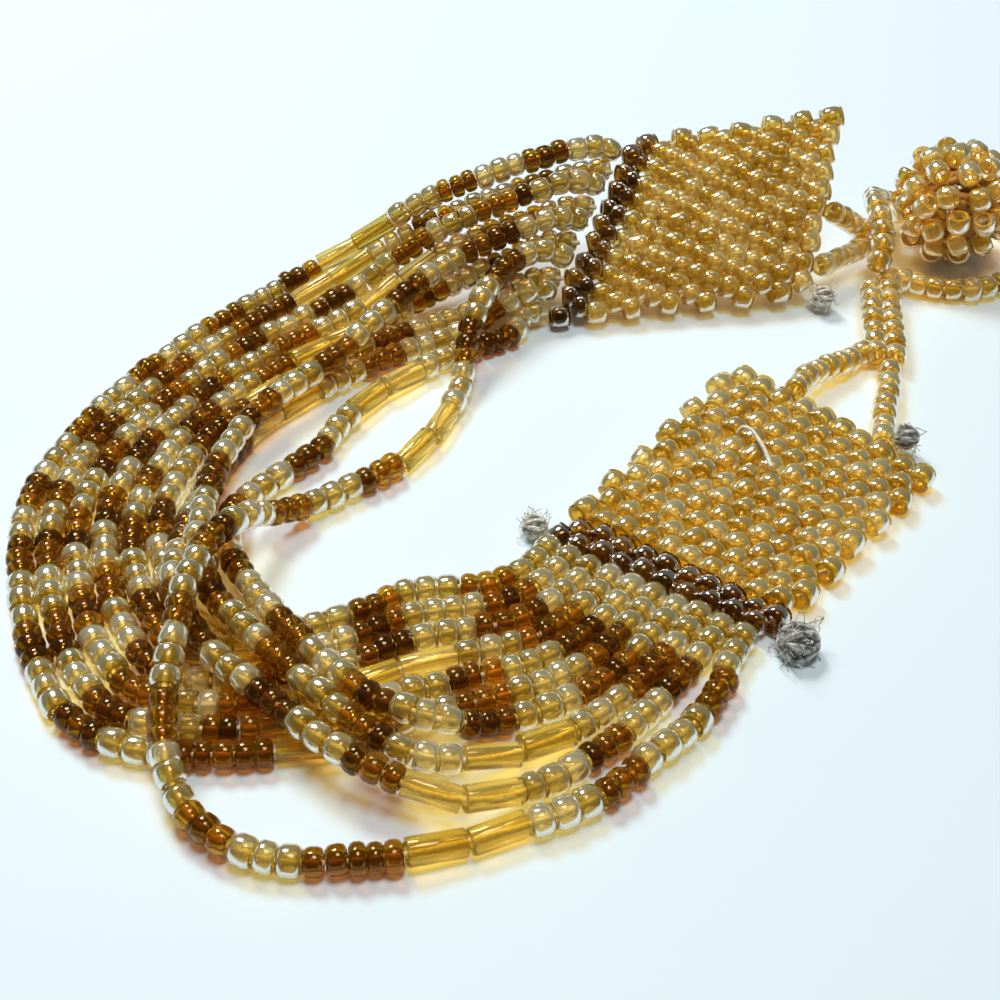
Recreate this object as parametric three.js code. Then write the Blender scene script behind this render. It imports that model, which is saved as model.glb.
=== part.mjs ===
// Multi-strand seed-bead bracelet, fastened and lying on a table: X right, Y away, Z up, in mm.
// Two panels of flat bead cloth carry ten loose strands between them; a loop closes over a ball.
import * as THREE from "three";

// ---- driving dimensions -------------------------------------------------------------------
const LAID_LENGTH = 88.4; // the whole bracelet as it lies, along X
const LAID_WIDTH = 79.3; // the whole bracelet as it lies, along Y
const STRAND_COUNT = 10;
const STRAND_DIAMETER = 1.6; // a strand of beads, as a round cord
const COLUMN_PITCH = 1.85; // one bead to the next across a panel
const AMBER_ROW_PITCH = 1.3; // two rows of amber beads make a band
const AMBER_ROWS = 2;
const CLOTH_ROWS = 12; // champagne rows behind each band
const CLOTH_THICKNESS = 1.8;
const BALL_DIAMETER = 12;
const NET_THICKNESS = 1.6; // the bead net round the ball's core
const FIT_GAP = 0.3; // between pieces that touch
const CORE_DIAMETER = BALL_DIAMETER - 2 * (NET_THICKNESS + FIT_GAP);
const CHAIN_DIAMETER = 1.7; // the legs, the neck and the loop ring
const STEM_DIAMETER = 2.3; // the loop's stem is a doubled chain
const LOOP_PLAY = 0.45; // between the ball and the loop ring round it
const KNOT_DIAMETER = 2.6;
const SMALL_KNOT_DIAMETER = 1.7;
const TAIL_DIAMETER = 0.4;
const TAIL_LENGTH = 4.6;
const SWING_GAP = 0.6; // between the strands and the far band, which swings about that face

// ---- layout -------------------------------------------------------------------------------
const DRAWN_LENGTH = 88.4; // the routes below are drawn at this length and width
const DRAWN_WIDTH = 79.3;
const DRAWN_PITCH = 1.85; // and with this pitch between the strands' slots
const DRAWN_CENTRE_X = 0.02; // and this point of the drawing is the middle of the bracelet
const DRAWN_CENTRE_Y = 0.5;
const REST_HEIGHT = 1.05; // centre of a bead that lies on the table
const TABLE_GAP = 0.05; // under the ball
const SIDES = 8; // of a cord
const STRAND_STEP = 2.0; // cord facets, in diameters
const AMBER = 0x8a4b0e;
const CHAMPAGNE = 0xe3c887;
const PEARL = 0xcfc39a;
const COTTON = 0xe9e2cc;
const FUZZ = 0x9a968c;

// A point of the layout, from where it is drawn.
function at(x, y, z = REST_HEIGHT) {
  return new THREE.Vector3(
    ((x - DRAWN_CENTRE_X) * LAID_LENGTH) / DRAWN_LENGTH,
    ((y - DRAWN_CENTRE_Y) * LAID_WIDTH) / DRAWN_WIDTH,
    z,
  );
}

function unit(x, y, z) {
  return new THREE.Vector3(x, y, z).normalize();
}

function along(start, ...steps) {
  const point = start.clone();
  for (const [direction, distance] of steps) {
    point.addScaledVector(direction, distance);
  }
  return point;
}

// ---- near and far bands: the slots the strands leave from --------------------------------
const NEAR_START = at(-1.9, -8.4);
const NEAR_LINE = unit(0.8375, -0.55, 0); // from the inner slot to the outer one
const NEAR_OUT = unit(-0.55, -0.8375, 0); // the way the strands leave
const FAR_START = at(-1, 20.4);
const FAR_LINE = unit(0.415, 0.716, 0.565); // from the low slot to the raised one
const FAR_OUT = unit(-0.94, 0.13, 0.2);
const FAR_UP = unit(0.05, -0.62, 0.78); // out of the far fan's face

const BAND_HALF = AMBER_ROW_PITCH / 2;
const FAN_NEAR = 3.2; // a strand keeps straight this far from its band
const FAN_FAR = 3.2;
const PULLED_POINTS = 6; // a strand's points that follow its slot when the pitch changes

function nearSlot(i) {
  return along(NEAR_START, [NEAR_LINE, i * COLUMN_PITCH]);
}

function farSlot(j) {
  return along(FAR_START, [FAR_LINE, j * COLUMN_PITCH]);
}

// ---- ten strands --------------------------------------------------------------------------
// The far slot each strand ends in, by its near slot; the outer strands cross over the others.
const FAR_SLOT = [2, 4, 6, 7, 8, 9, 0, 5, 1, 3];
// How far each far slot's strand stands out of the fan's face, which is too narrow for a row.
const FAN_LIFT = [-0.3, 1.3, -0.9, 1.3, -0.9, 0.9, -1, 1, -1, 1];

// Strands 0 to 5 lie on the table, one outside the other round the bend.
const OUTERMOST_ON_TABLE = 5;

function tableStrand(k) {
  const inward = OUTERMOST_ON_TABLE - k;
  return [
    at(-1.05 - 1.19 * inward, -22.1 + 1.7 * inward),
    at(-11.65 - 0.17 * inward, -26.3 + 2.42 * inward),
    at(-21.5 + 0.5 * inward, -29.5 + 2.4 * inward),
    at(-35 + 1.5 * inward, -27.5 + 1.8 * inward),
    at(-43.25 + 2.12 * inward, -8),
    at(-41.5 + 2.1 * inward, 3.5 - 0.3 * inward),
    at(-34.5 + 1.6 * inward, 16 - 1.45 * inward),
    at(-21.5 + 0.9 * inward, 26.5 - 1.97 * inward, 3.55 - 0.5 * inward),
  ];
}

// Strands 6 to 9 start outside and climb over the pile to its inner side.
const CROSSING_STRANDS = {
  6: [
    at(0.1, -23.8), at(-7.5, -27.2, 1.3), at(-11, -27.9, 2.9), at(-15.5, -26.2, 3.2),
    at(-19.5, -22.2, 3.3), at(-23, -18, 3.3), at(-26, -13.5, 3.1), at(-27.2, -9, 2.2),
    at(-27, -5, 1.2), at(-24.4, -1.6), at(-21.2, 1.9), at(-18.9, 6.6), at(-15.6, 10.8),
    at(-11, 14.6), at(-5, 18.2),
  ],
  7: [
    at(1.3, -25.5), at(-6, -30, 1.4), at(-12, -30.9, 2.6), at(-19.3, -25.6, 3.3),
    at(-23.3, -21.2, 3.3), at(-26.9, -17.2, 3.4), at(-28.7, -12.5, 3.9), at(-28.9, -6, 3.3),
    at(-28.2, 0, 2.9), at(-25.2, 6.4, 2.95), at(-20.8, 11.3, 3.1), at(-16.8, 16.2, 4.4),
  ],
  8: [
    at(2.7, -27.1), at(-3, -32, 1.2), at(-9.3, -34.3, 2.2), at(-17, -31, 3.3),
    at(-21.9, -26.8, 3.3), at(-27.6, -21, 3.3), at(-30.2, -15.5, 3.3), at(-30.3, -11.5, 2.75),
    at(-30.4, -8, 1.8), at(-29.3, -1), at(-26.3, 5.5), at(-20.5, 11.1), at(-15.2, 15.1),
    at(-10.8, 17.5), at(-7.4, 19.7, 1.9),
  ],
  9: [
    at(8.9, -23.9), at(6.8, -27.1), at(3.7, -29.9), at(0.2, -33.2), at(-6.2, -36),
    at(-14, -38), at(-21.5, -38), at(-26.5, -35, 1.6), at(-28.4, -31, 3.3),
    at(-28.8, -26, 5), at(-28.7, -20.5, 5.5), at(-28.4, -16, 5.6), at(-27, -12.2, 5.4),
    at(-25.3, -9.4, 4.2), at(-23.6, -7.2, 2.4), at(-21, -4.7, 1.2), at(-17.6, -2.1),
    at(-14.6, 0.2), at(-11.6, 4.8), at(-9.8, 9.6, 1.1), at(-9.2, 14, 3.2),
    at(-8.1, 17.6, 4.9), at(-4.7, 22.9, 5.9),
  ],
};

// Where a strand joins the far fan, a little before its slot.
function fanEntry(j) {
  const step = j - 2;
  return along(at(-9 - 0.5 * step, 20.6 + 1.1 * step, 1.9 + 0.93 * step), [FAR_UP, FAN_LIFT[j]]);
}

function strandRoute(i) {
  const j = FAR_SLOT[i];
  const route = [
    along(nearSlot(i), [NEAR_OUT, BAND_HALF + FIT_GAP]),
    along(nearSlot(i), [NEAR_OUT, FAN_NEAR]),
  ];
  const onTable = CROSSING_STRANDS[i] === undefined;
  const drawn = (onTable ? tableStrand(i) : CROSSING_STRANDS[i]).map((point) => point.clone());
  if (onTable || i === 7) {
    drawn.push(fanEntry(j));
  }
  // A wider or narrower pitch moves a slot, and the strand's nearest points go with it.
  const wider = COLUMN_PITCH - DRAWN_PITCH;
  drawn.forEach((point, m) => {
    const near = Math.max(0, 1 - m / PULLED_POINTS);
    const far = Math.max(0, 1 - (drawn.length - 1 - m) / PULLED_POINTS);
    point.addScaledVector(NEAR_LINE, i * wider * near);
    point.addScaledVector(FAR_LINE, j * wider * far);
  });
  route.push(...drawn);
  route.push(along(farSlot(j), [FAR_OUT, FAN_FAR], [FAR_UP, FAN_LIFT[j]]));
  route.push(along(farSlot(j), [FAR_OUT, BAND_HALF + SWING_GAP]));
  return route;
}

// ---- shapes -------------------------------------------------------------------------------
// A round cord along a smooth curve through the route's points.
function cord(route, diameter, sides = SIDES, step = STRAND_STEP) {
  const path = new THREE.CatmullRomCurve3(route, false, "centripetal");
  const steps = Math.max(4, Math.round(path.getLength() / (step * diameter)));
  const round = new THREE.Shape();
  for (let s = 0; s < sides; s++) {
    const turn = (2 * Math.PI * s) / sides;
    const x = (Math.cos(turn) * diameter) / 2;
    const y = (Math.sin(turn) * diameter) / 2;
    if (s === 0) {
      round.moveTo(x, y);
    } else {
      round.lineTo(x, y);
    }
  }
  return new THREE.ExtrudeGeometry(round, { steps, extrudePath: path, bevelEnabled: false });
}

// A panel's four outer corners: the band's inner and outer end, then the cloth's.
function panelPatch(bandInner, bandOuter, clothInner, clothOuter) {
  return (u, v) => {
    const band = bandInner.clone().lerp(bandOuter, u);
    const cloth = clothInner.clone().lerp(clothOuter, u);
    return band.lerp(cloth, v);
  };
}

const NUDGE = 1e-3; // the step that finds which way the cloth faces

// The slab under rows first to last of a panel; odd rows stand half a bead to the outer side.
function clothSlab(patch, rowEdges, columns) {
  const half = 0.5 / (columns + 0.5);
  const marks = [0, half];
  for (let c = 2; c < columns; c += 2) {
    marks.push((c + 0.5) / (columns + 0.5));
  }
  marks.push(1 - half, 1);
  const vertices = [];
  const faces = [];
  const corner = new Map();
  const vertex = (c, r, side) => {
    const key = `${c}/${r}/${side}`;
    if (!corner.has(key)) {
      const u = marks[c];
      const v = rowEdges[r];
      const point = patch(u, v);
      const across = patch(u + NUDGE, v).sub(point);
      const down = patch(u, v + NUDGE).sub(point);
      const normal = across.cross(down).normalize();
      normal.multiplyScalar((normal.z > 0 ? side : -side) * (CLOTH_THICKNESS / 2));
      point.add(normal);
      corner.set(key, vertices.length / 3);
      vertices.push(point.x, point.y, point.z);
    }
    return corner.get(key);
  };
  const quad = (a, b, c, d) => faces.push(a, b, c, a, c, d);
  const last = marks.length - 2;
  const filled = (c, r) => {
    if (r < 0 || r > rowEdges.length - 2 || c < 0 || c > last) {
      return false;
    }
    return r % 2 === 0 ? c < last : c > 0;
  };
  for (let r = 0; r < rowEdges.length - 1; r++) {
    for (let c = 0; c <= last; c++) {
      if (!filled(c, r)) {
        continue;
      }
      const around = [[c, r], [c + 1, r], [c + 1, r + 1], [c, r + 1]];
      const low = around.map(([x, y]) => vertex(x, y, -1));
      const high = around.map(([x, y]) => vertex(x, y, 1));
      quad(...high);
      quad(low[3], low[2], low[1], low[0]);
      if (!filled(c, r - 1)) quad(low[0], low[1], high[1], high[0]);
      if (!filled(c + 1, r)) quad(low[1], low[2], high[2], high[1]);
      if (!filled(c, r + 1)) quad(low[2], low[3], high[3], high[2]);
      if (!filled(c - 1, r)) quad(low[3], low[0], high[0], high[3]);
    }
  }
  const slab = new THREE.BufferGeometry();
  slab.setAttribute("position", new THREE.Float32BufferAttribute(vertices, 3));
  slab.setIndex(faces);
  return slab;
}

// Row edges from the strands' side, as fractions of the panel's whole depth.
const BAND_DEPTH = AMBER_ROWS * AMBER_ROW_PITCH;

function bandEdges(depth) {
  return Array.from({ length: AMBER_ROWS + 1 }, (_, r) => (r * AMBER_ROW_PITCH) / depth);
}

function clothEdges(depth) {
  const first = BAND_DEPTH + FIT_GAP;
  const pitch = (depth - first) / CLOTH_ROWS;
  return Array.from({ length: CLOTH_ROWS + 1 }, (_, r) => (first + r * pitch) / depth);
}

// Turns a slab's faces round when they point inwards.
function facingOut(geometry) {
  const p = geometry.getAttribute("position");
  const index = geometry.getIndex();
  const [a, b, c] = [new THREE.Vector3(), new THREE.Vector3(), new THREE.Vector3()];
  let volume = 0;
  for (let i = 0; i < index.count; i += 3) {
    a.fromBufferAttribute(p, index.getX(i));
    b.fromBufferAttribute(p, index.getX(i + 1));
    c.fromBufferAttribute(p, index.getX(i + 2));
    volume += a.dot(b.cross(c));
  }
  if (volume < 0) {
    for (let i = 0; i < index.count; i += 3) {
      const kept = index.getX(i + 1);
      index.setX(i + 1, index.getX(i + 2));
      index.setX(i + 2, kept);
    }
  }
  geometry.computeVertexNormals();
  return geometry;
}

// ---- assembly -----------------------------------------------------------------------------
const bracelet = new THREE.Group();
bracelet.name = "bead_bracelet";

function piece(name, geometry, color, roughness) {
  const finish = new THREE.MeshStandardMaterial({ color, roughness });
  finish.name = `${name}_finish`;
  const mesh = new THREE.Mesh(geometry, finish);
  mesh.name = name;
  bracelet.add(mesh);
  return mesh;
}

for (let i = 0; i < STRAND_COUNT; i++) {
  const name = `strand_${String(i + 1).padStart(2, "0")}`;
  piece(name, cord(strandRoute(i), STRAND_DIAMETER), i % 2 === 0 ? PEARL : CHAMPAGNE, 0.3);
}

// near panel: rises to one corner of its end edge, where the loop's first leg pulls on it
const HALF_COLUMN = COLUMN_PITCH / 2;
const nearInner = along(nearSlot(0), [NEAR_LINE, -HALF_COLUMN], [NEAR_OUT, BAND_HALF]);
const outerEnd = nearSlot(STRAND_COUNT - 1);
const nearOuter = along(outerEnd, [NEAR_LINE, COLUMN_PITCH], [NEAR_OUT, BAND_HALF]);
const nearClothInner = at(12.9, 9.6, 4);
const nearClothOuter = at(28.6, -1.6);
const nearPatch = panelPatch(nearInner, nearOuter, nearClothInner, nearClothOuter);
const nearDepth = nearInner.distanceTo(nearClothInner);
const nearBand = clothSlab(nearPatch, bandEdges(nearDepth), STRAND_COUNT);
const nearCloth = clothSlab(nearPatch, clothEdges(nearDepth), STRAND_COUNT);
piece("near_amber_band", facingOut(nearBand), AMBER, 0.25);
piece("near_panel", facingOut(nearCloth), CHAMPAGNE, 0.28);

const FAR_LOW_END = 0.37; // past the lowest slot, so the band's low corner clears the table

// far panel: stands up on its lower edge, leaning away
const farLow = along(farSlot(0), [FAR_LINE, -FAR_LOW_END], [FAR_OUT, BAND_HALF]);
const farHigh = along(farSlot(STRAND_COUNT - 1), [FAR_LINE, COLUMN_PITCH], [FAR_OUT, BAND_HALF]);
const farClothLow = at(21.5, 23.2, 1.3);
const farClothHigh = at(25.2, 36.4, 13.3);
const farPatch = panelPatch(farLow, farHigh, farClothLow, farClothHigh);
const farDepth = farLow.distanceTo(farClothLow);
const farBand = clothSlab(farPatch, bandEdges(farDepth), STRAND_COUNT);
const farCloth = clothSlab(farPatch, clothEdges(farDepth), STRAND_COUNT);
piece("far_amber_band", facingOut(farBand), AMBER, 0.25);
piece("far_panel", facingOut(farCloth), CHAMPAGNE, 0.28);

const LEG_GAP = 0.9; // from the middle of a panel's end row to the start of a leg

// loop: two legs from the near panel's end edge meet at a stem, which carries the ring
const ballCentre = at(36.1, 32, BALL_DIAMETER / 2 + TABLE_GAP);
const nearEdge = (u) => nearPatch(u, 1);
const legA = [
  along(nearEdge(0.3), [unit(0.55, 0.8375, -0.15), LEG_GAP]),
  at(19.6, 10.2, 2.2), at(22.9, 13, 1.4), at(25, 14.8),
];
const legB = [
  along(nearEdge(0.75), [unit(0.2, 0.98, -0.1), LEG_GAP]),
  at(25.9, 6.8, 1.2), at(26.9, 10), at(27.2, 12.2),
];
const stem = [at(27.3, 13.8, 1.3), at(27.6, 17, 1.6), at(28, 21, 2), at(28.5, 24.2, 1.9)];
piece("near_leg_a", cord(legA, CHAIN_DIAMETER), CHAMPAGNE, 0.28);
piece("near_leg_b", cord(legB, CHAIN_DIAMETER), CHAMPAGNE, 0.28);
piece("loop_stem", cord(stem, STEM_DIAMETER), CHAMPAGNE, 0.28);

// the ring goes round the ball on the table and over the ball's neck; its points are given by
// degrees round the ball, height and share of the ring's own radius
const RING_RADIUS = BALL_DIAMETER / 2 + LOOP_PLAY + CHAIN_DIAMETER / 2;

function roundBall(degrees, height, reach = 1) {
  const turn = THREE.MathUtils.degToRad(degrees);
  const r = RING_RADIUS * reach;
  return new THREE.Vector3(
    ballCentre.x + r * Math.cos(turn),
    ballCentre.y + r * Math.sin(turn),
    height,
  );
}

const ring = [
  roundBall(-137, 1.5, 1.15), roundBall(-116, 1.2, 1.02), roundBall(-90, REST_HEIGHT),
  roundBall(-52, REST_HEIGHT), roundBall(-16, REST_HEIGHT), roundBall(18, REST_HEIGHT, 1.02),
  roundBall(54, REST_HEIGHT, 1.04), roundBall(90, REST_HEIGHT, 1.02), roundBall(125, 2.2, 1.02),
  roundBall(156, 4.6, 1.02), roundBall(180, 5.9), roundBall(203, 5.2, 1.06),
  roundBall(216, 4.1, 1.23),
];
piece("loop_ring", cord(ring, CHAIN_DIAMETER), CHAMPAGNE, 0.28);

// far legs meet in front of the ball's neck
const farEdge = (u) => farPatch(u, 1);
const farLegA = [
  along(farEdge(0.47), [unit(0.9, 0.1, -0.4), LEG_GAP]),
  at(25.6, 30.4, 5.2), at(26.9, 31.2, 4.1),
];
const farLegB = [
  along(farEdge(0.16), [unit(0.9, 0.4, -0.1), LEG_GAP]),
  at(24.8, 27.4, 2.6), at(27, 29.4, 2.3),
];
piece("far_leg_a", cord(farLegA, CHAIN_DIAMETER), CHAMPAGNE, 0.28);
piece("far_leg_b", cord(farLegB, CHAIN_DIAMETER), CHAMPAGNE, 0.28);

// ball: a core in a bead net that is open at the neck and at the far pole
const neckEnd = along(ballCentre, [unit(-5.2, -0.8, -1.9), BALL_DIAMETER / 2 + FIT_GAP]);
const neckStart = at(28.9, 30.8, 2.7);
const neck = [neckStart, neckStart.clone().lerp(neckEnd, 0.5), neckEnd];
piece("button_neck", cord(neck, CHAIN_DIAMETER), CHAMPAGNE, 0.28);

const neckAxis = neckEnd.clone().sub(ballCentre).normalize();
const NET_OUTER = BALL_DIAMETER / 2;
const NET_INNER = NET_OUTER - NET_THICKNESS;
const POLE_OPENING = THREE.MathUtils.degToRad(15);
const NET_ARCS = 12;
const netProfile = [];
for (let a = 0; a <= NET_ARCS; a++) {
  const turn = POLE_OPENING + ((Math.PI - 2 * POLE_OPENING) * a) / NET_ARCS;
  netProfile.push(new THREE.Vector2(NET_OUTER * Math.sin(turn), -NET_OUTER * Math.cos(turn)));
}
for (let a = NET_ARCS; a >= 0; a--) {
  const turn = POLE_OPENING + ((Math.PI - 2 * POLE_OPENING) * a) / NET_ARCS;
  netProfile.push(new THREE.Vector2(NET_INNER * Math.sin(turn), -NET_INNER * Math.cos(turn)));
}
netProfile.push(netProfile[0].clone());
const toNeck = new THREE.Quaternion().setFromUnitVectors(new THREE.Vector3(0, 1, 0), neckAxis);
const net = piece("button_beads", new THREE.LatheGeometry(netProfile, 20), CHAMPAGNE, 0.28);
net.quaternion.copy(toNeck);
net.position.copy(ballCentre);
const core = piece("button_core", new THREE.SphereGeometry(CORE_DIAMETER / 2, 16, 10), COTTON, 0.8);
core.position.copy(ballCentre);

// thread knots and the loose tail
const KNOT_STRETCH = 1.1;
const KNOT_FLATTEN = 0.85;
const KNOT_REACH = 0.55; // half a stretched knot, in diameters

function knot(name, place, diameter, color) {
  const lump = new THREE.SphereGeometry(diameter / 2, 10, 8);
  lump.scale(KNOT_STRETCH, 1, KNOT_FLATTEN);
  piece(name, lump, color, 0.95).position.copy(place);
}

const outerKnotGap = COLUMN_PITCH + FIT_GAP + KNOT_DIAMETER * KNOT_REACH;
const innerKnotGap = HALF_COLUMN + FIT_GAP + SMALL_KNOT_DIAMETER * KNOT_REACH;
const outerKnotPlace = along(outerEnd, [NEAR_LINE, outerKnotGap]);
const innerKnotPlace = along(nearSlot(0), [NEAR_LINE, -innerKnotGap]);
const loopKnotPlace = along(nearEdge(0.75), [unit(0.98, -0.2, 0), 2.4], [unit(-0.1, 1, 0), 1.9]);
const farKnotPlace = along(farEdge(0.02), [unit(1, -0.25, -0.05), 1.6]);
knot("knot_near_outer", outerKnotPlace, KNOT_DIAMETER, FUZZ);
knot("knot_near_inner", innerKnotPlace, SMALL_KNOT_DIAMETER, COTTON);
knot("knot_loop", loopKnotPlace, SMALL_KNOT_DIAMETER, FUZZ);
knot("knot_far", farKnotPlace, SMALL_KNOT_DIAMETER, COTTON);

const TAIL_BOW = 0.4; // the tail bends this far out of line
const TAIL_CLEAR = 0.1;
const tailLift = CLOTH_THICKNESS / 2 + FIT_GAP + TAIL_DIAMETER / 2 + TAIL_CLEAR;
const tailStart = nearPatch(0.3, 0.72).setZ(nearPatch(0.3, 0.72).z + tailLift);
const tailAim = nearPatch(0.5, 0.62).setZ(nearPatch(0.5, 0.62).z + tailLift);
const tailWay = tailAim.sub(tailStart).normalize();
const tail = [
  tailStart,
  along(tailStart, [tailWay, TAIL_LENGTH / 2], [unit(1, 1, 0.4), TAIL_BOW]),
  along(tailStart, [tailWay, TAIL_LENGTH]),
];
piece("thread_tail", cord(tail, TAIL_DIAMETER, 6, 3), COTTON, 0.9);

export default bracelet;
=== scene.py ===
"""Multi-strand seed-bead bracelet, fastened and lying on a pale table.

Lengths are in millimetres until a piece is finished, where MM turns them to metres.
"""
import math
import random
from bisect import bisect_right

import bpy
from mathutils import Matrix, Vector


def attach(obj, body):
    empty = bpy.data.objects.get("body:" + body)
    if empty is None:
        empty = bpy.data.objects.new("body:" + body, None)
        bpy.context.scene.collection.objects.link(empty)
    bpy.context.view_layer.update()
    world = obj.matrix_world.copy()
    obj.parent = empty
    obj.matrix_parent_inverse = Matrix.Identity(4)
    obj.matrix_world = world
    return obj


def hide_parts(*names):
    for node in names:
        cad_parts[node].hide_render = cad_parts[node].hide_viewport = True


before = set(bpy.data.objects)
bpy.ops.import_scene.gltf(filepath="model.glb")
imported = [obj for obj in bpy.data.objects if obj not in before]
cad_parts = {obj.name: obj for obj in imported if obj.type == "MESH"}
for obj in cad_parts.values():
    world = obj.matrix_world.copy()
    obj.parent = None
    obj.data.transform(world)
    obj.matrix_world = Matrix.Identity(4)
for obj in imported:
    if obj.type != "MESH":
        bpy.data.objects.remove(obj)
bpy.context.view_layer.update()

MM = 0.001

# ---- sizes ---------------------------------------------------------------------------------
BEAD_ACROSS = 2.14  # a size 11/0 seed bead
BEAD_BORE = 0.9
BEAD_SIDES = 12
CHAMPAGNE_LENGTH = 1.62  # along the thread, with the small space to the next bead
AMBER_LENGTH = 1.3
BUGLE_ACROSS = 1.9
BUGLE_BORE = 0.8
BUGLE_LENGTH = 4.1
CLOTH_BEAD_ACROSS = 2.12
CLOTH_BEAD_LENGTH = 1.7  # of the glass alone
BAND_BEAD_LENGTH = 1.46
CHAIN_BEAD_ACROSS = 2.14
CHAIN_BEAD_LENGTH = 1.6
THREAD_ACROSS = 0.4
FINE_THREAD_ACROSS = 0.22
THREAD_POINT_STEP = 3.5  # between the curve points of a strand's thread
THREAD_POINTS = (15, 39)  # the fewest and the most spans of such a thread
FAR_SLACK = 0.45  # bare thread at the far band, where the band swings against the strands
LENGTH_SPREAD = 0.14  # beads of one kind differ this much in length
STRAND_COUNT = 10
COLUMN_PITCH = 1.85
AMBER_ROW_PITCH = 1.3
AMBER_ROWS = 2
CLOTH_ROWS = 12
REST_HEIGHT = 1.05
FIT_GAP = 0.3
SWING_GAP = 0.6
BAND_HALF = AMBER_ROW_PITCH / 2
BALL_ACROSS = 12
LOOP_PLAY = 0.45
CHAIN_ACROSS = 1.7
CORE_ACROSS = 8.2
CORE_TURNS = 30
CORE_THREAD_ACROSS = 0.8
KNOT_ACROSS = 2.6
SMALL_KNOT_ACROSS = 1.7
KNOT_PUFF = 1.25  # how much looser the wound thread is than the knot inside it
KNOT_TURNS = 26
KNOT_THREAD_SHARE = 0.11  # of the knot's width
KNOT_FIBRES = 40
FIBRE_ACROSS = 0.07
TAIL_ACROSS = 0.34
TAIL_LENGTH = 4.6
CENTRE_X = 0.02
CENTRE_Y = 0.5


# ---- layout: the same points and directions as the frame's own -------------------------------
def at(x, y, z=REST_HEIGHT):
    """A point of the layout, in millimetres."""
    return Vector((x - CENTRE_X, y - CENTRE_Y, z))


def along(start, *steps):
    """A point some way from start: each step is a direction and a distance."""
    point = start.copy()
    for direction, distance in steps:
        point += direction * distance
    return point


NEAR_START = at(-1.9, -8.4)
NEAR_LINE = Vector((0.8375, -0.55, 0)).normalized()
NEAR_OUT = Vector((-0.55, -0.8375, 0)).normalized()
FAR_START = at(-1, 20.4)
FAR_LINE = Vector((0.415, 0.716, 0.565)).normalized()
FAR_OUT = Vector((-0.94, 0.13, 0.2)).normalized()
FAR_UP = Vector((0.05, -0.62, 0.78)).normalized()
FAN_LENGTH = 3.2
FAR_SLOT = [2, 4, 6, 7, 8, 9, 0, 5, 1, 3]
FAN_LIFT = [-0.3, 1.3, -0.9, 1.3, -0.9, 0.9, -1, 1, -1, 1]


def near_slot(i):
    return along(NEAR_START, (NEAR_LINE, i * COLUMN_PITCH))


def far_slot(j):
    return along(FAR_START, (FAR_LINE, j * COLUMN_PITCH))


OUTERMOST_ON_TABLE = 5
HIGH_ENTRY_STRAND = 7  # it crosses the pile, and joins the far fan as the table strands do


def table_strand(k):
    """Strands 0 to 5 lie on the table, one outside the other round the bend."""
    inward = OUTERMOST_ON_TABLE - k
    return [
        at(-1.05 - 1.19 * inward, -22.1 + 1.7 * inward),
        at(-11.65 - 0.17 * inward, -26.3 + 2.42 * inward),
        at(-21.5 + 0.5 * inward, -29.5 + 2.4 * inward),
        at(-35 + 1.5 * inward, -27.5 + 1.8 * inward),
        at(-43.25 + 2.12 * inward, -8),
        at(-41.5 + 2.1 * inward, 3.5 - 0.3 * inward),
        at(-34.5 + 1.6 * inward, 16 - 1.45 * inward),
        at(-21.5 + 0.9 * inward, 26.5 - 1.97 * inward, 3.55 - 0.5 * inward),
    ]


# Strands 6 to 9 start outside and climb over the pile to its inner side.
CROSSING_STRANDS = {
    6: [
        at(0.1, -23.8), at(-7.5, -27.2, 1.3), at(-11, -27.9, 2.9), at(-15.5, -26.2, 3.2),
        at(-19.5, -22.2, 3.3), at(-23, -18, 3.3), at(-26, -13.5, 3.1), at(-27.2, -9, 2.2),
        at(-27, -5, 1.2), at(-24.4, -1.6), at(-21.2, 1.9), at(-18.9, 6.6), at(-15.6, 10.8),
        at(-11, 14.6), at(-5, 18.2),
    ],
    7: [
        at(1.3, -25.5), at(-6, -30, 1.4), at(-12, -30.9, 2.6), at(-19.3, -25.6, 3.3),
        at(-23.3, -21.2, 3.3), at(-26.9, -17.2, 3.4), at(-28.7, -12.5, 3.9),
        at(-28.9, -6, 3.3), at(-28.2, 0, 2.9), at(-25.2, 6.4, 2.95), at(-20.8, 11.3, 3.1),
        at(-16.8, 16.2, 4.4),
    ],
    8: [
        at(2.7, -27.1), at(-3, -32, 1.2), at(-9.3, -34.3, 2.2), at(-17, -31, 3.3),
        at(-21.9, -26.8, 3.3), at(-27.6, -21, 3.3), at(-30.2, -15.5, 3.3),
        at(-30.3, -11.5, 2.75), at(-30.4, -8, 1.8), at(-29.3, -1), at(-26.3, 5.5),
        at(-20.5, 11.1), at(-15.2, 15.1), at(-10.8, 17.5), at(-7.4, 19.7, 1.9),
    ],
    9: [
        at(8.9, -23.9), at(6.8, -27.1), at(3.7, -29.9), at(0.2, -33.2), at(-6.2, -36),
        at(-14, -38), at(-21.5, -38), at(-26.5, -35, 1.6), at(-28.4, -31, 3.3),
        at(-28.8, -26, 5), at(-28.7, -20.5, 5.5), at(-28.4, -16, 5.6), at(-27, -12.2, 5.4),
        at(-25.3, -9.4, 4.2), at(-23.6, -7.2, 2.4), at(-21, -4.7, 1.2), at(-17.6, -2.1),
        at(-14.6, 0.2), at(-11.6, 4.8), at(-9.8, 9.6, 1.1), at(-9.2, 14, 3.2),
        at(-8.1, 17.6, 4.9), at(-4.7, 22.9, 5.9),
    ],
}


def fan_entry(j):
    """Where a strand joins the far fan, a little before its slot."""
    step = j - 2
    return along(
        at(-9 - 0.5 * step, 20.6 + 1.1 * step, 1.9 + 0.93 * step), (FAR_UP, FAN_LIFT[j])
    )


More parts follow.
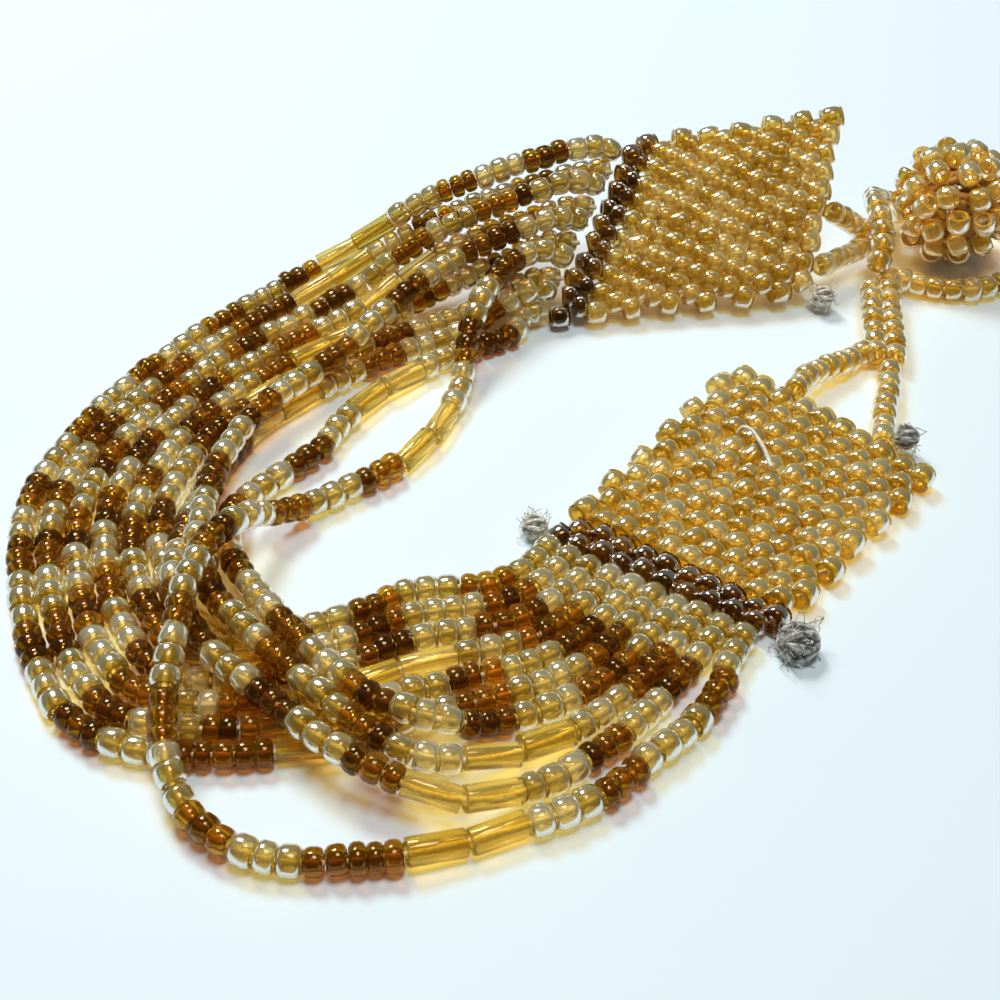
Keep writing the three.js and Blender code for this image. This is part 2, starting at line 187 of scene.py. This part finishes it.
def strand_route(i):
    j = FAR_SLOT[i]
    route = [
        along(near_slot(i), (NEAR_OUT, BAND_HALF + FIT_GAP)),
        along(near_slot(i), (NEAR_OUT, FAN_LENGTH)),
    ]
    route += CROSSING_STRANDS.get(i) or table_strand(i)
    if i <= OUTERMOST_ON_TABLE or i == HIGH_ENTRY_STRAND:
        route.append(fan_entry(j))
    route.append(along(far_slot(j), (FAR_OUT, FAN_LENGTH), (FAR_UP, FAN_LIFT[j])))
    route.append(along(far_slot(j), (FAR_OUT, BAND_HALF + SWING_GAP)))
    return route


class Line:
    """A smooth line through a route's points, which gives the place at a distance along it."""

    FINE = 24

    def __init__(self, route):
        ends = [2 * route[0] - route[1], *route, 2 * route[-1] - route[-2]]
        self.points = []
        for p0, p1, p2, p3 in zip(ends, ends[1:], ends[2:], ends[3:]):
            k0, k1, k2 = ((b - a).length ** 0.5 for a, b in ((p0, p1), (p1, p2), (p2, p3)))
            t1 = ((p1 - p0) / k0 - (p2 - p0) / (k0 + k1) + (p2 - p1) / k1) * k1
            t2 = ((p2 - p1) / k1 - (p3 - p1) / (k1 + k2) + (p3 - p2) / k2) * k1
            for step in range(self.FINE):
                t = step / self.FINE
                bend = (-3 * p1 + 3 * p2 - 2 * t1 - t2) * t * t
                twist = (2 * p1 - 2 * p2 + t1 + t2) * t * t * t
                self.points.append(p1 + t1 * t + bend + twist)
        self.points.append(route[-1].copy())
        self.reach = [0.0]
        for a, b in zip(self.points, self.points[1:]):
            self.reach.append(self.reach[-1] + (b - a).length)
        self.length = self.reach[-1]

    def point(self, distance):
        distance = min(max(distance, 0), self.length)
        low = min(bisect_right(self.reach, distance), len(self.reach) - 1) - 1
        share = (distance - self.reach[low]) / (self.reach[low + 1] - self.reach[low])
        return self.points[low].lerp(self.points[low + 1], share)

    def chord(self, start, end):
        """The middle and the direction of a bead that fills the line from start to end."""
        a, b = self.point(start), self.point(end)
        return (a + b) / 2, (b - a).normalized()


# ---- camera ----------------------------------------------------------------------------------
def set_camera():
    camera = bpy.data.objects.new("camera", bpy.data.cameras.new("camera"))
    bpy.context.collection.objects.link(camera)
    camera.data.lens = 57.6
    camera.data.sensor_width = 36
    camera.data.clip_start = 0.005
    camera.location = Vector((-6.4 - CENTRE_X, -98 - CENTRE_Y, 85.5)) * MM
    camera.rotation_euler = (math.radians(48), 0, 0)
    bpy.context.scene.camera = camera


set_camera()


# ---- making tools ----------------------------------------------------------------------------
def deselect():
    if bpy.context.object and bpy.context.object.mode != "OBJECT":
        bpy.ops.object.mode_set(mode="OBJECT")
    bpy.ops.object.select_all(action="DESELECT")


def turned_bead(name, across, bore, length, lip):
    """A glass bead, its hole along Z: the wall's section with two rounded outer corners, spun."""
    deselect()
    wall = (across - bore) / 2
    bpy.ops.mesh.primitive_plane_add(
        size=MM,
        location=((across + bore) / 4 * MM, 0, 0),
        rotation=(math.pi / 2, 0, 0),
    )
    bead = bpy.context.object
    bead.name = name
    bead.scale = (wall, length, 1)
    bpy.ops.object.transform_apply(location=True, rotation=True, scale=True)
    for vertex in bead.data.vertices:
        vertex.select = vertex.co.x > across * 0.45 * MM
    bpy.ops.object.mode_set(mode="EDIT")
    bpy.ops.mesh.select_mode(type="VERT")
    bpy.ops.mesh.bevel(offset=lip * MM, segments=2, affect="VERTICES")
    bpy.ops.mesh.select_all(action="SELECT")
    bpy.ops.mesh.delete(type="ONLY_FACE")
    bpy.ops.mesh.select_all(action="SELECT")
    bpy.ops.mesh.spin(steps=BEAD_SIDES, angle=2 * math.pi, center=(0, 0, 0), axis=(0, 0, 1))
    bpy.ops.mesh.select_all(action="SELECT")
    bpy.ops.mesh.remove_doubles(threshold=MM * 0.001)
    bpy.ops.mesh.normals_make_consistent(inside=False)
    bpy.ops.object.mode_set(mode="OBJECT")
    bpy.ops.object.shade_smooth_by_angle(angle=math.radians(60))
    return bead


def place_of(middle, direction, luck, loose, tilt, long):
    """A bead's place on its thread: its hole along the direction, a little loose and askew.
    The bead is long times its master's length."""
    askew = direction + Vector([luck.uniform(-tilt, tilt) for _ in range(3)])
    turn = askew.normalized().to_track_quat("Z", "Y").to_matrix().to_4x4()
    spin = Matrix.Rotation(luck.uniform(0, 2 * math.pi), 4, "Z")
    off = Vector([luck.uniform(-loose, loose) for _ in range(3)])
    wide = luck.uniform(0.94, 1.06)
    size = Matrix.Diagonal((wide, wide, long, 1))
    return Matrix.Translation((middle + off) * MM) @ turn @ spin @ size


def strung(name, bead, places, luck):
    """Copies of a bead at each place, joined; each keeps a tone of its own for its glass."""
    deselect()
    copies = []
    for place in places:
        copy = bpy.data.objects.new(name, bead.data.copy())
        bpy.context.collection.objects.link(copy)
        copy.data.transform(place)
        tone = copy.data.attributes.new("tone", "FLOAT", "POINT")
        tone.data.foreach_set("value", [luck.random()] * len(copy.data.vertices))
        copies.append(copy)
    return joined(name, copies)


def joined(name, parts):
    """Several meshes as one, with its origin at the frame's."""
    deselect()
    for part in parts:
        part.select_set(True)
    bpy.context.view_layer.objects.active = parts[0]
    if len(parts) > 1:
        bpy.ops.object.join()
    whole = bpy.context.view_layer.objects.active
    whole.name = name
    whole.data.name = name
    return whole


def thread_curve(name, points, across):
    """A thread along a smooth curve through the points, given in millimetres."""
    curve = bpy.data.curves.new(name, "CURVE")
    curve.dimensions = "3D"
    curve.bevel_depth = across / 2 * MM
    curve.bevel_resolution = 1
    curve.resolution_u = 6
    curve.use_fill_caps = True
    spline = curve.splines.new("BEZIER")
    spline.bezier_points.add(len(points) - 1)
    for knot, point in zip(spline.bezier_points, points):
        knot.co = point * MM
        knot.handle_left_type = knot.handle_right_type = "AUTO"
    thread = bpy.data.objects.new(name, curve)
    bpy.context.collection.objects.link(thread)
    return thread


def thread_mesh(name, routes, across):
    """Several short threads as one mesh."""
    threads = [thread_curve(name, route, across) for route in routes]
    deselect()
    for thread in threads:
        thread.select_set(True)
    bpy.context.view_layer.objects.active = threads[0]
    bpy.ops.object.convert(target="MESH")
    return joined(name, threads)


# ---- materials -------------------------------------------------------------------------------
def linear(hex_colour):
    """An sRGB hex colour as linear RGBA."""
    parts = [int(hex_colour[i : i + 2], 16) / 255 for i in (1, 3, 5)]
    return (*(c / 12.92 if c <= 0.04045 else ((c + 0.055) / 1.055) ** 2.4 for c in parts), 1)


def add(material, kind, settings=None, **links):
    """Adds a node, sets its properties and sockets, and links sockets from other nodes' outputs."""
    node = material.node_tree.nodes.new(kind)
    for key, value in (settings or {}).items():
        if hasattr(node, key) and key not in node.inputs:
            setattr(node, key, value)
        else:
            node.inputs[key].default_value = value
    for key, output in links.items():
        socket = node.inputs[int(key[1:])] if key[0] == "_" else node.inputs[key.replace("_", " ")]
        material.node_tree.links.new(output, socket)
    return node


def new_material(name):
    material = bpy.data.materials.new(name)
    material.use_nodes = True
    material.node_tree.nodes.clear()
    return material


def ramp(material, factor, stops):
    node = add(material, "ShaderNodeValToRGB", Fac=factor)
    elements = node.color_ramp.elements
    while len(elements) < len(stops):
        elements.new(0.5)
    for element, (position, colour) in zip(elements, stops):
        element.position = position
        element.color = linear(colour)
    return node


def bead_glass(name, tones, cast, clear, rough, coat):
    """Pressed seed-bead glass: light goes through it and takes its colour, so even its shadow
    is tinted with the cast; a thin clear coat gives the bright skin. Each bead has its own tone."""
    material = new_material(name)
    tone = add(material, "ShaderNodeAttribute", {"attribute_name": "tone"})
    stops = [(n / (len(tones) - 1), colour) for n, colour in enumerate(tones)]
    colour = ramp(material, tone.outputs["Fac"], stops)
    glass = add(
        material,
        "ShaderNodeBsdfPrincipled",
        {
            "Roughness": rough,
            "IOR": 1.5,
            "Specular IOR Level": 0.3,
            "Specular Tint": linear("#EBCF8E"),
            "Transmission Weight": clear,
            "Coat Weight": coat,
            "Coat Roughness": 0.04,
            "Coat IOR": 1.5,
        },
        Base_Color=colour.outputs["Color"],
    )
    tint = add(material, "ShaderNodeBsdfTransparent", {"Color": linear(cast)})
    path = add(material, "ShaderNodeLightPath")
    mix = add(
        material,
        "ShaderNodeMixShader",
        _0=path.outputs["Is Shadow Ray"],
        _1=glass.outputs["BSDF"],
        _2=tint.outputs["BSDF"],
    )
    add(material, "ShaderNodeOutputMaterial", Surface=mix.outputs["Shader"])
    return material


# Pale gold glass with a pearl lustre: warm and clear within, with a soft whitish skin.
CHAMPAGNE = bead_glass(
    "champagne_lustre_glass", ["#D0AE34", "#E2C65C", "#F0DE90"], "#EAD27C", 0.76, 0.15, 0.16
)
PEARL = bead_glass(
    "pearl_champagne_glass", ["#BEA440", "#D6C270", "#E8DCA4"], "#E8D48C", 0.75, 0.15, 0.2
)
# Topaz glass: brown at the rims, orange where the light comes through.
AMBER = bead_glass("topaz_glass", ["#684204", "#9C6C08", "#CC981C"], "#C4903A", 0.9, 0.08, 0.12)
BAND_AMBER = bead_glass(
    "smoky_topaz_glass", ["#5E3A06", "#84540A", "#AC7A1A"], "#A4762E", 0.84, 0.1, 0.08
)
STRAW = bead_glass(
    "straw_bugle_glass", ["#CEB248", "#DECA6C", "#EAD88E"], "#E9D28A", 0.86, 0.1, 0.12
)


def cotton(name, light, hollow_shade, fine):
    """Spun cotton thread: matt and a little fuzzy, in its own light colour, with painted shade: a
    darker colour in the hollows between its fibres, where the bump is low.
    """
    material = new_material(name)
    where = add(material, "ShaderNodeTexCoord")
    noise = add(
        material,
        "ShaderNodeTexNoise",
        {"Scale": 1 / (fine * MM), "Detail": 3},
        Vector=where.outputs["Object"],
    )
    # painted shade: the darker colour falls where the noise, and so the bump, is low
    colour = ramp(material, noise.outputs["Fac"], [(0.35, hollow_shade), (0.6, light)])
    bump = add(
        material,
        "ShaderNodeBump",
        {"Strength": 0.6, "Distance": 0.1 * MM},
        Height=noise.outputs["Fac"],
    )
    cloth = add(
        material,
        "ShaderNodeBsdfPrincipled",
        {"Roughness": 0.9, "Sheen Weight": 0.4},
        Base_Color=colour.outputs["Color"],
        Normal=bump.outputs["Normal"],
    )
    add(material, "ShaderNodeOutputMaterial", Surface=cloth.outputs["BSDF"])
    return material


# The first colour of each thread is its own; the second is painted shade for the hollows between
# its fibres.
THREAD = cotton("cream_cotton_thread", "#EFE8D4", "#C9BE9C", 0.3)
FUZZ = cotton("grey_cotton_fuzz", "#D2D0C8", "#55524C", 0.5)
CREAM_FUZZ = cotton("cream_cotton_fuzz", "#ECE8DC", "#A9A28E", 0.4)
# The ball's wound core is itself a guess; its golden-brown colour is painted shade, the dark seen
# in the gaps between the ball's beads.
CORE_GAP_SHADE_THREAD = cotton("core_cotton_gap_shade", "#B98F45", "#6E4A16", 0.4)


def finish_piece(piece, material, body, slot, *nodes):
    piece.data.materials.clear()
    piece.data.materials.append(material)
    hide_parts(*nodes)
    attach(piece, body)
    return piece


# ---- bead masters ----------------------------------------------------------------------------
MASTERS = {
    name: turned_bead(f"{name}_bead", across, bore, length, lip)
    for name, across, bore, length, lip in (
        ("champagne", BEAD_ACROSS, BEAD_BORE, CHAMPAGNE_LENGTH - 0.08, 0.42),
        ("amber", BEAD_ACROSS, BEAD_BORE, AMBER_LENGTH - 0.06, 0.4),
        ("bugle", BUGLE_ACROSS, BUGLE_BORE, BUGLE_LENGTH - 0.12, 0.12),
        ("cloth", CLOTH_BEAD_ACROSS, BEAD_BORE, CLOTH_BEAD_LENGTH, 0.5),
        ("band", CLOTH_BEAD_ACROSS, BEAD_BORE, BAND_BEAD_LENGTH, 0.48),
        ("chain", CHAIN_BEAD_ACROSS, BEAD_BORE, CHAIN_BEAD_LENGTH - 0.06, 0.42),
    )
}

# ---- ten strands -----------------------------------------------------------------------------
LENGTHS = {"champagne": CHAMPAGNE_LENGTH, "amber": AMBER_LENGTH, "bugle": BUGLE_LENGTH}
STRAND_GLASS = {"champagne": PEARL, "amber": AMBER, "bugle": STRAW}
C, A, B = "champagne", "amber", "bugle"
# What follows a band, in order; the strands take these by turns.
FROM_BAND = [
    [(C, 3), (A, 3), (C, 3), (A, 3), (C, 3), (B, 2)],
    [(C, 3), (A, 3), (C, 4), (A, 3), (C, 3), (B, 2), (A, 2)],
    [(C, 4), (A, 4), (C, 3), (A, 3), (C, 3)],
    [(C, 3), (A, 4), (C, 3), (B, 2), (C, 3), (A, 3), (C, 3)],
]
IN_BEND = [(A, 3), (C, 3)]


def finish_thread(name, line, body, node):
    """The thread through a row of beads, with the beads as the pieces on it."""
    fewest, most = THREAD_POINTS
    steps = min(most, max(fewest, round(line.length / THREAD_POINT_STEP)))
    points = [line.point(line.length * n / steps) for n in range(steps + 1)]
    thread = thread_curve(name, points, THREAD_ACROSS)
    finish_piece(thread, THREAD, body, "cotton_thread", node)


def half_strand(length, opening, luck):
    """The beads from a band to the strand's middle: each is a kind and a share of its length."""
    beads = []
    groups = list(opening)
    while True:
        for kind, count in groups:
            for _ in range(count):
                share = 1 if kind == B else luck.uniform(1 - LENGTH_SPREAD, 1 + LENGTH_SPREAD)
                if length < LENGTHS[kind] / 2:
                    return beads
                beads.append((kind, share))
                length -= LENGTHS[kind] * share
        groups = IN_BEND


def make_strand(i):
    luck = random.Random(100 + i)
    line = Line(strand_route(i))
    name = f"strand_{i + 1:02d}"
    run = line.length - FAR_SLACK
    beads = half_strand(run / 2, FROM_BAND[i % len(FROM_BAND)], luck)
    beads += half_strand(run / 2, FROM_BAND[(i * 3 + 1) % len(FROM_BAND)], luck)[::-1]
    stretch = run / sum(LENGTHS[kind] * share for kind, share in beads)
    places = {kind: [] for kind in LENGTHS}
    start = 0
    for kind, share in beads:
        end = start + LENGTHS[kind] * share * stretch
        middle, direction = line.chord(start, end)
        places[kind].append(place_of(middle, direction, luck, 0.09, 0.1, share * stretch))
        start = end
    for kind, glass in STRAND_GLASS.items():
        if places[kind]:
            piece = strung(f"{name}_{kind}", MASTERS[kind], places[kind], luck)
            finish_piece(piece, glass, "strands", "strand_glass", name)
    finish_thread(f"{name}_thread", line, "strands", name)


for i in range(STRAND_COUNT):
    make_strand(i)


# ---- panels of bead cloth --------------------------------------------------------------------
def cloth_places(line_start, line, out, cloth_inner, cloth_outer, luck):
    """The places of the band's beads and the cloth's, row by row; odd rows stand half a bead on."""
    band, cloth = [], []
    columns = [[] for _ in range(STRAND_COUNT)]
    depth = (cloth_inner - along(line_start, (out, BAND_HALF))).length
    first = AMBER_ROWS * AMBER_ROW_PITCH + FIT_GAP
    pitch = (depth - first) / CLOTH_ROWS
    for row in range(AMBER_ROWS + CLOTH_ROWS):
        if row < AMBER_ROWS:
            reach = (row + 0.5) * AMBER_ROW_PITCH
        else:
            reach = first + (row - AMBER_ROWS + 0.5) * pitch
        for column in range(STRAND_COUNT):
            shift = column + (0.5 if row % 2 else 0)
            a = along(line_start, (line, shift * COLUMN_PITCH), (out, BAND_HALF))
            b = cloth_inner.lerp(cloth_outer, (shift + 0.5) / (STRAND_COUNT + 0.5))
            middle = a.lerp(b, reach / depth)
            long = luck.uniform(0.88, 1.18)
            place = place_of(middle, (b - a).normalized(), luck, 0.15, 0.24, long)
            (band if row < AMBER_ROWS else cloth).append(place)
            columns[column].append(middle)
    return band, cloth, columns


def make_panel(side, body, *layout):
    luck = random.Random(len(side) * 31)
    band, cloth, columns = cloth_places(*layout, luck)
    band_piece = strung(f"{side}_band_beads", MASTERS["band"], band, luck)
    finish_piece(band_piece, BAND_AMBER, body, "amber_glass", f"{side}_amber_band")
    cloth_piece = strung(f"{side}_cloth_beads", MASTERS["cloth"], cloth, luck)
    finish_piece(cloth_piece, CHAMPAGNE, body, "champagne_glass", f"{side}_panel")
    sewing = thread_mesh(f"{side}_sewing_thread", columns, FINE_THREAD_ACROSS)
    finish_piece(sewing, THREAD, body, "cotton_thread", f"{side}_amber_band", f"{side}_panel")


# Each cloth's free end, from its inner or low corner to its outer or high one.
NEAR_CLOTH = (at(12.9, 9.6, 4), at(28.6, -1.6))
FAR_CLOTH = (at(21.5, 23.2, 1.3), at(25.2, 36.4, 13.3))
make_panel("near", "near_panel_body", NEAR_START, NEAR_LINE, NEAR_OUT, *NEAR_CLOTH)
make_panel("far", "far_panel_body", FAR_START, FAR_LINE, FAR_OUT, *FAR_CLOTH)


# ---- clasp: a loop of beads closed over a beaded ball ------------------------------------------
LEG_GAP = 0.9
BALL_CENTRE = at(36.1, 32, BALL_ACROSS / 2 + 0.05)
RING_RADIUS = BALL_ACROSS / 2 + LOOP_PLAY + CHAIN_ACROSS / 2
SHORT_CHAIN = 30  # a chain up to this long hangs on fine thread that shows only between beads
SHORT_CHAIN_SPANS = 6


def near_edge(u):
    return NEAR_CLOTH[0].lerp(NEAR_CLOTH[1], u)


def far_edge(u):
    return FAR_CLOTH[0].lerp(FAR_CLOTH[1], u)


def way(x, y, z):
    return Vector((x, y, z)).normalized()


def round_ball(degrees, height, reach=1):
    turn = math.radians(degrees)
    out = Vector((math.cos(turn), math.sin(turn), 0)) * RING_RADIUS * reach
    return Vector((BALL_CENTRE.x + out.x, BALL_CENTRE.y + out.y, height))


def bead_places(line, pitch, luck, side=Vector()):
    """Places along a line, a pitch apart as near as whole beads allow."""
    count = max(1, round(line.length / pitch))
    step = line.length / count
    places = []
    for n in range(count):
        middle, direction = line.chord(n * step, (n + 1) * step)
        long = step / pitch * luck.uniform(0.92, 1.1)
        places.append(place_of(middle + side, direction, luck, 0.08, 0.14, long))
    return places


def make_chain(node, body, route, seed, side=0.0):
    """A chain of beads; with a side, two chains lie next to each other that far from the line."""
    luck = random.Random(seed)
    line = Line(route)
    _, ahead = line.chord(0, line.length)
    across = Vector((ahead.y, -ahead.x, 0))
    offsets = [across * side, across * -side] if side else [Vector()]
    places = [p for offset in offsets for p in bead_places(line, CHAIN_BEAD_LENGTH, luck, offset)]
    beads = strung(f"{node}_beads", MASTERS["chain"], places, luck)
    finish_piece(beads, CHAMPAGNE, body, "champagne_glass", node)
    if line.length > SHORT_CHAIN:
        finish_thread(f"{node}_thread", line, body, node)
    else:
        shares = [n / SHORT_CHAIN_SPANS for n in range(SHORT_CHAIN_SPANS + 1)]
        routes = [
            [line.point(line.length * share) + offset for share in shares] for offset in offsets
        ]
        thread = thread_mesh(f"{node}_thread", routes, FINE_THREAD_ACROSS)
        finish_piece(thread, THREAD, body, "cotton_thread", node)


make_chain("near_leg_a", "loop_body", [
    along(near_edge(0.3), (way(0.55, 0.8375, -0.15), LEG_GAP)),
    at(19.6, 10.2, 2.2), at(22.9, 13, 1.4), at(25, 14.8), at(26.2, 15.2, 1.3),
], 21)
make_chain("near_leg_b", "loop_body", [
    along(near_edge(0.75), (way(0.2, 0.98, -0.1), LEG_GAP)),
    at(25.9, 6.8, 1.2), at(26.9, 10), at(27.2, 12.2), at(27.3, 13.2, 1.2),
], 22)
make_chain("loop_stem", "loop_body", [
    at(27.3, 13.8, 1.3), at(27.6, 17, 1.6), at(28, 21, 2), at(28.5, 24.2, 1.9),
], 23, 0.8)
make_chain("loop_ring", "loop_body", [
    at(29, 25.2, 1.7), round_ball(-137, 1.5, 1.15), round_ball(-116, 1.2, 1.02),
    round_ball(-90, REST_HEIGHT), round_ball(-52, REST_HEIGHT), round_ball(-16, REST_HEIGHT),
    round_ball(18, REST_HEIGHT, 1.02), round_ball(54, REST_HEIGHT, 1.04),
    round_ball(90, REST_HEIGHT, 1.02), round_ball(125, 2.2, 1.02), round_ball(156, 4.6, 1.02),
    round_ball(180, 5.9), round_ball(203, 5.2, 1.06), round_ball(216, 4.1, 1.23),
    at(28.3, 25.4, 2.9),
], 24)
make_chain("far_leg_a", "far_panel_body", [
    along(far_edge(0.47), (way(0.9, 0.1, -0.4), LEG_GAP)),
    at(25.6, 30.4, 5.2), at(26.9, 31.2, 4.1), at(28.3, 31, 3.2),
], 25)
make_chain("far_leg_b", "far_panel_body", [
    along(far_edge(0.16), (way(0.9, 0.4, -0.1), LEG_GAP)),
    at(24.8, 27.4, 2.6), at(27, 29.4, 2.3), at(28.3, 30.3, 2.4),
], 26)
neck_end = along(BALL_CENTRE, (way(-5.2, -0.8, -1.9), BALL_ACROSS / 2 + FIT_GAP))
neck_start = at(28.9, 30.8, 2.7)
make_chain("button_neck", "far_panel_body", [
    neck_start, neck_start.lerp(neck_end, 0.5), neck_end,
], 27)

# The ball's net: rings of beads round the neck's line, each (degrees from the neck, beads).
NET_RINGS = [(24, 6), (50, 10), (76, 12), (102, 12), (128, 10), (153, 5)]
NET_SLIP = 4  # degrees a bead may stand off its ring
NET_REACH = (BALL_ACROSS - BEAD_ACROSS) / 2


def ball_point(axis, polar, around):
    """A point on the ball's net, and its direction from the ball's centre."""
    first = axis.orthogonal().normalized()
    second = axis.cross(first)
    flat = first * math.cos(around) + second * math.sin(around)
    out = axis * math.cos(polar) + flat * math.sin(polar)
    return BALL_CENTRE + out * NET_REACH, out


def above_table(point, thread_across):
    """The point itself, or the lowest place above it where the thread lies on the table."""
    return Vector((point.x, point.y, max(point.z, thread_across / 2)))


POINTS_A_TURN = 5
LEAN_X, LEAN_Z = 0.37, 0.23  # radians the winding leans over from one point to the next


def wound_thread(name, centre, across, turns, thread_across, luck, strays=0):
    """A lump of thread wound round and round itself, with a few stray fibres."""
    radius = (across - thread_across) / 2
    points = []
    for n in range(turns * POINTS_A_TURN):
        lean = Matrix.Rotation(n * LEAN_X, 3, "X") @ Matrix.Rotation(n * LEAN_Z, 3, "Z")
        turn = 2 * math.pi * n / POINTS_A_TURN
        out = lean @ Vector((math.cos(turn), math.sin(turn), 0))
        point = centre + out * radius * luck.uniform(0.86, 1)
        points.append(above_table(point, thread_across))
    lump = thread_mesh(name, [points], thread_across)
    if not strays:
        return lump
    fibres = []
    for _ in range(strays):
        out = Vector([luck.uniform(-1, 1) for _ in range(3)]).normalized()
        curl = Vector([luck.uniform(-0.5, 0.5) for _ in range(3)]) * across
        tip = centre + out * across * luck.uniform(0.55, 0.85)
        fibre = [centre, centre + out * across * 0.45, (centre + tip) / 2 + curl * 0.5, tip]
        fibres.append([above_table(point, thread_across) for point in fibre])
    return joined(name, [lump, thread_mesh(f"{name}_fibres", fibres, FIBRE_ACROSS)])


def make_ball():
    luck = random.Random(31)
    axis = (neck_end - BALL_CENTRE).normalized()
    places = []
    for number, (degrees, count) in enumerate(NET_RINGS):
        for n in range(count):
            polar = math.radians(degrees + luck.uniform(-NET_SLIP, NET_SLIP))
            around = 2 * math.pi * (n + 0.5 * (number % 2)) / count
            middle, out = ball_point(axis, polar, around)
            meridian = (axis - out * axis.dot(out)).normalized()
            lie = meridian if (n + number) % 2 else meridian.cross(out)
            long = luck.uniform(0.95, 1.2)
            places.append(place_of(middle, lie, luck, 0.12, 0.45, long))
    beads = strung("button_net_beads", MASTERS["champagne"], places, luck)
    finish_piece(beads, CHAMPAGNE, "button_body", "champagne_glass", "button_beads")
    # the core's golden-brown colour is painted shade for the gaps between the net's beads
    core = wound_thread(
        "button_core_winding", BALL_CENTRE, CORE_ACROSS, CORE_TURNS, CORE_THREAD_ACROSS, luck
    )
    finish_piece(core, CORE_GAP_SHADE_THREAD, "button_body", "cotton_thread", "button_core")


make_ball()

# ---- knots and the loose tail ------------------------------------------------------------------
HALF_COLUMN = COLUMN_PITCH / 2
KNOT_REACH = 0.55  # from the cloth to the knot's middle, as a share of the knot's width
OUTER_KNOT = COLUMN_PITCH + FIT_GAP + KNOT_ACROSS * KNOT_REACH
INNER_KNOT = -(HALF_COLUMN + FIT_GAP + SMALL_KNOT_ACROSS * KNOT_REACH)
KNOTS = {
    "knot_near_outer": (along(near_slot(9), (NEAR_LINE, OUTER_KNOT)), KNOT_ACROSS, FUZZ),
    "knot_near_inner": (
        along(near_slot(0), (NEAR_LINE, INNER_KNOT)), SMALL_KNOT_ACROSS, CREAM_FUZZ
    ),
    "knot_loop": (
        along(near_edge(0.75), (way(0.98, -0.2, 0), 2.4), (way(-0.1, 1, 0), 1.9)),
        SMALL_KNOT_ACROSS,
        FUZZ,
    ),
    "knot_far": (
        along(far_edge(0.02), (way(1, -0.25, -0.05), 1.6)), SMALL_KNOT_ACROSS, CREAM_FUZZ
    ),
}
for number, (node, (place, across, cotton_fuzz)) in enumerate(KNOTS.items()):
    body = "far_panel_body" if node == "knot_far" else "near_panel_body"
    luck = random.Random(41 + number)
    puffed, fine = across * KNOT_PUFF, across * KNOT_THREAD_SHARE
    knot = wound_thread(f"{node}_winding", place, puffed, KNOT_TURNS, fine, luck, KNOT_FIBRES)
    finish_piece(knot, cotton_fuzz, body, "cotton_thread", node)


def near_patch(u, v):
    """A point of the near panel: u across it from the inner side, v from the strands' side."""
    band_inner = along(NEAR_START, (NEAR_LINE, -HALF_COLUMN), (NEAR_OUT, BAND_HALF))
    band_outer = along(near_slot(9), (NEAR_LINE, COLUMN_PITCH), (NEAR_OUT, BAND_HALF))
    return band_inner.lerp(band_outer, u).lerp(near_edge(u), v)


TAIL_LIFT = Vector((0, 0, 1.5))  # the tail lies on top of the cloth
tail_start = near_patch(0.3, 0.72) + TAIL_LIFT
tail_way = (near_patch(0.5, 0.62) + TAIL_LIFT - tail_start).normalized()
tail = thread_mesh(
    "thread_tail_cotton",
    [[
        along(tail_start, (way(-0.6, 0.2, -1), 1)),
        tail_start,
        along(tail_start, (tail_way, TAIL_LENGTH / 2), (way(1, 1, 0.4), 0.4)),
        along(tail_start, (tail_way, TAIL_LENGTH)),
    ]],
    TAIL_ACROSS,
)
finish_piece(tail, THREAD, "near_panel_body", "cotton_thread", "thread_tail")


# ---- stage and light -------------------------------------------------------------------------
def make_table():
    deselect()
    bpy.ops.mesh.primitive_plane_add(size=3, location=(0, 0, 0))
    table = bpy.context.object
    table.name = "table"
    material = new_material("pale_table_paint")
    paint = add(
        material,
        "ShaderNodeBsdfPrincipled",
        {"Base Color": linear("#D6E4E8"), "Roughness": 0.6},
    )
    add(material, "ShaderNodeOutputMaterial", Surface=paint.outputs["BSDF"])
    table.data.materials.append(material)


def light_stage():
    world = bpy.data.worlds.new("soft_sky")
    world.use_nodes = True
    world.node_tree.nodes["Background"].inputs["Color"].default_value = linear("#E8FAFF")
    world.node_tree.nodes["Background"].inputs["Strength"].default_value = 0.1
    bpy.context.scene.world = world
    for name, place, size, power in (
        ("window", (-0.16, 0.30, 0.42), 0.15, 2.15),
        ("ceiling", (0.05, -0.02, 0.6), 0.2, 2.05),
    ):
        lamp = bpy.data.lights.new(name, "AREA")
        lamp.size = size
        lamp.energy = power
        light = bpy.data.objects.new(name, lamp)
        light.location = place
        light.rotation_euler = (-Vector(place)).to_track_quat("-Z", "Y").to_euler()
        bpy.context.collection.objects.link(light)


make_table()
light_stage()

for master in MASTERS.values():
    bpy.data.objects.remove(master)

bpy.context.scene.view_settings.view_transform = "Standard"
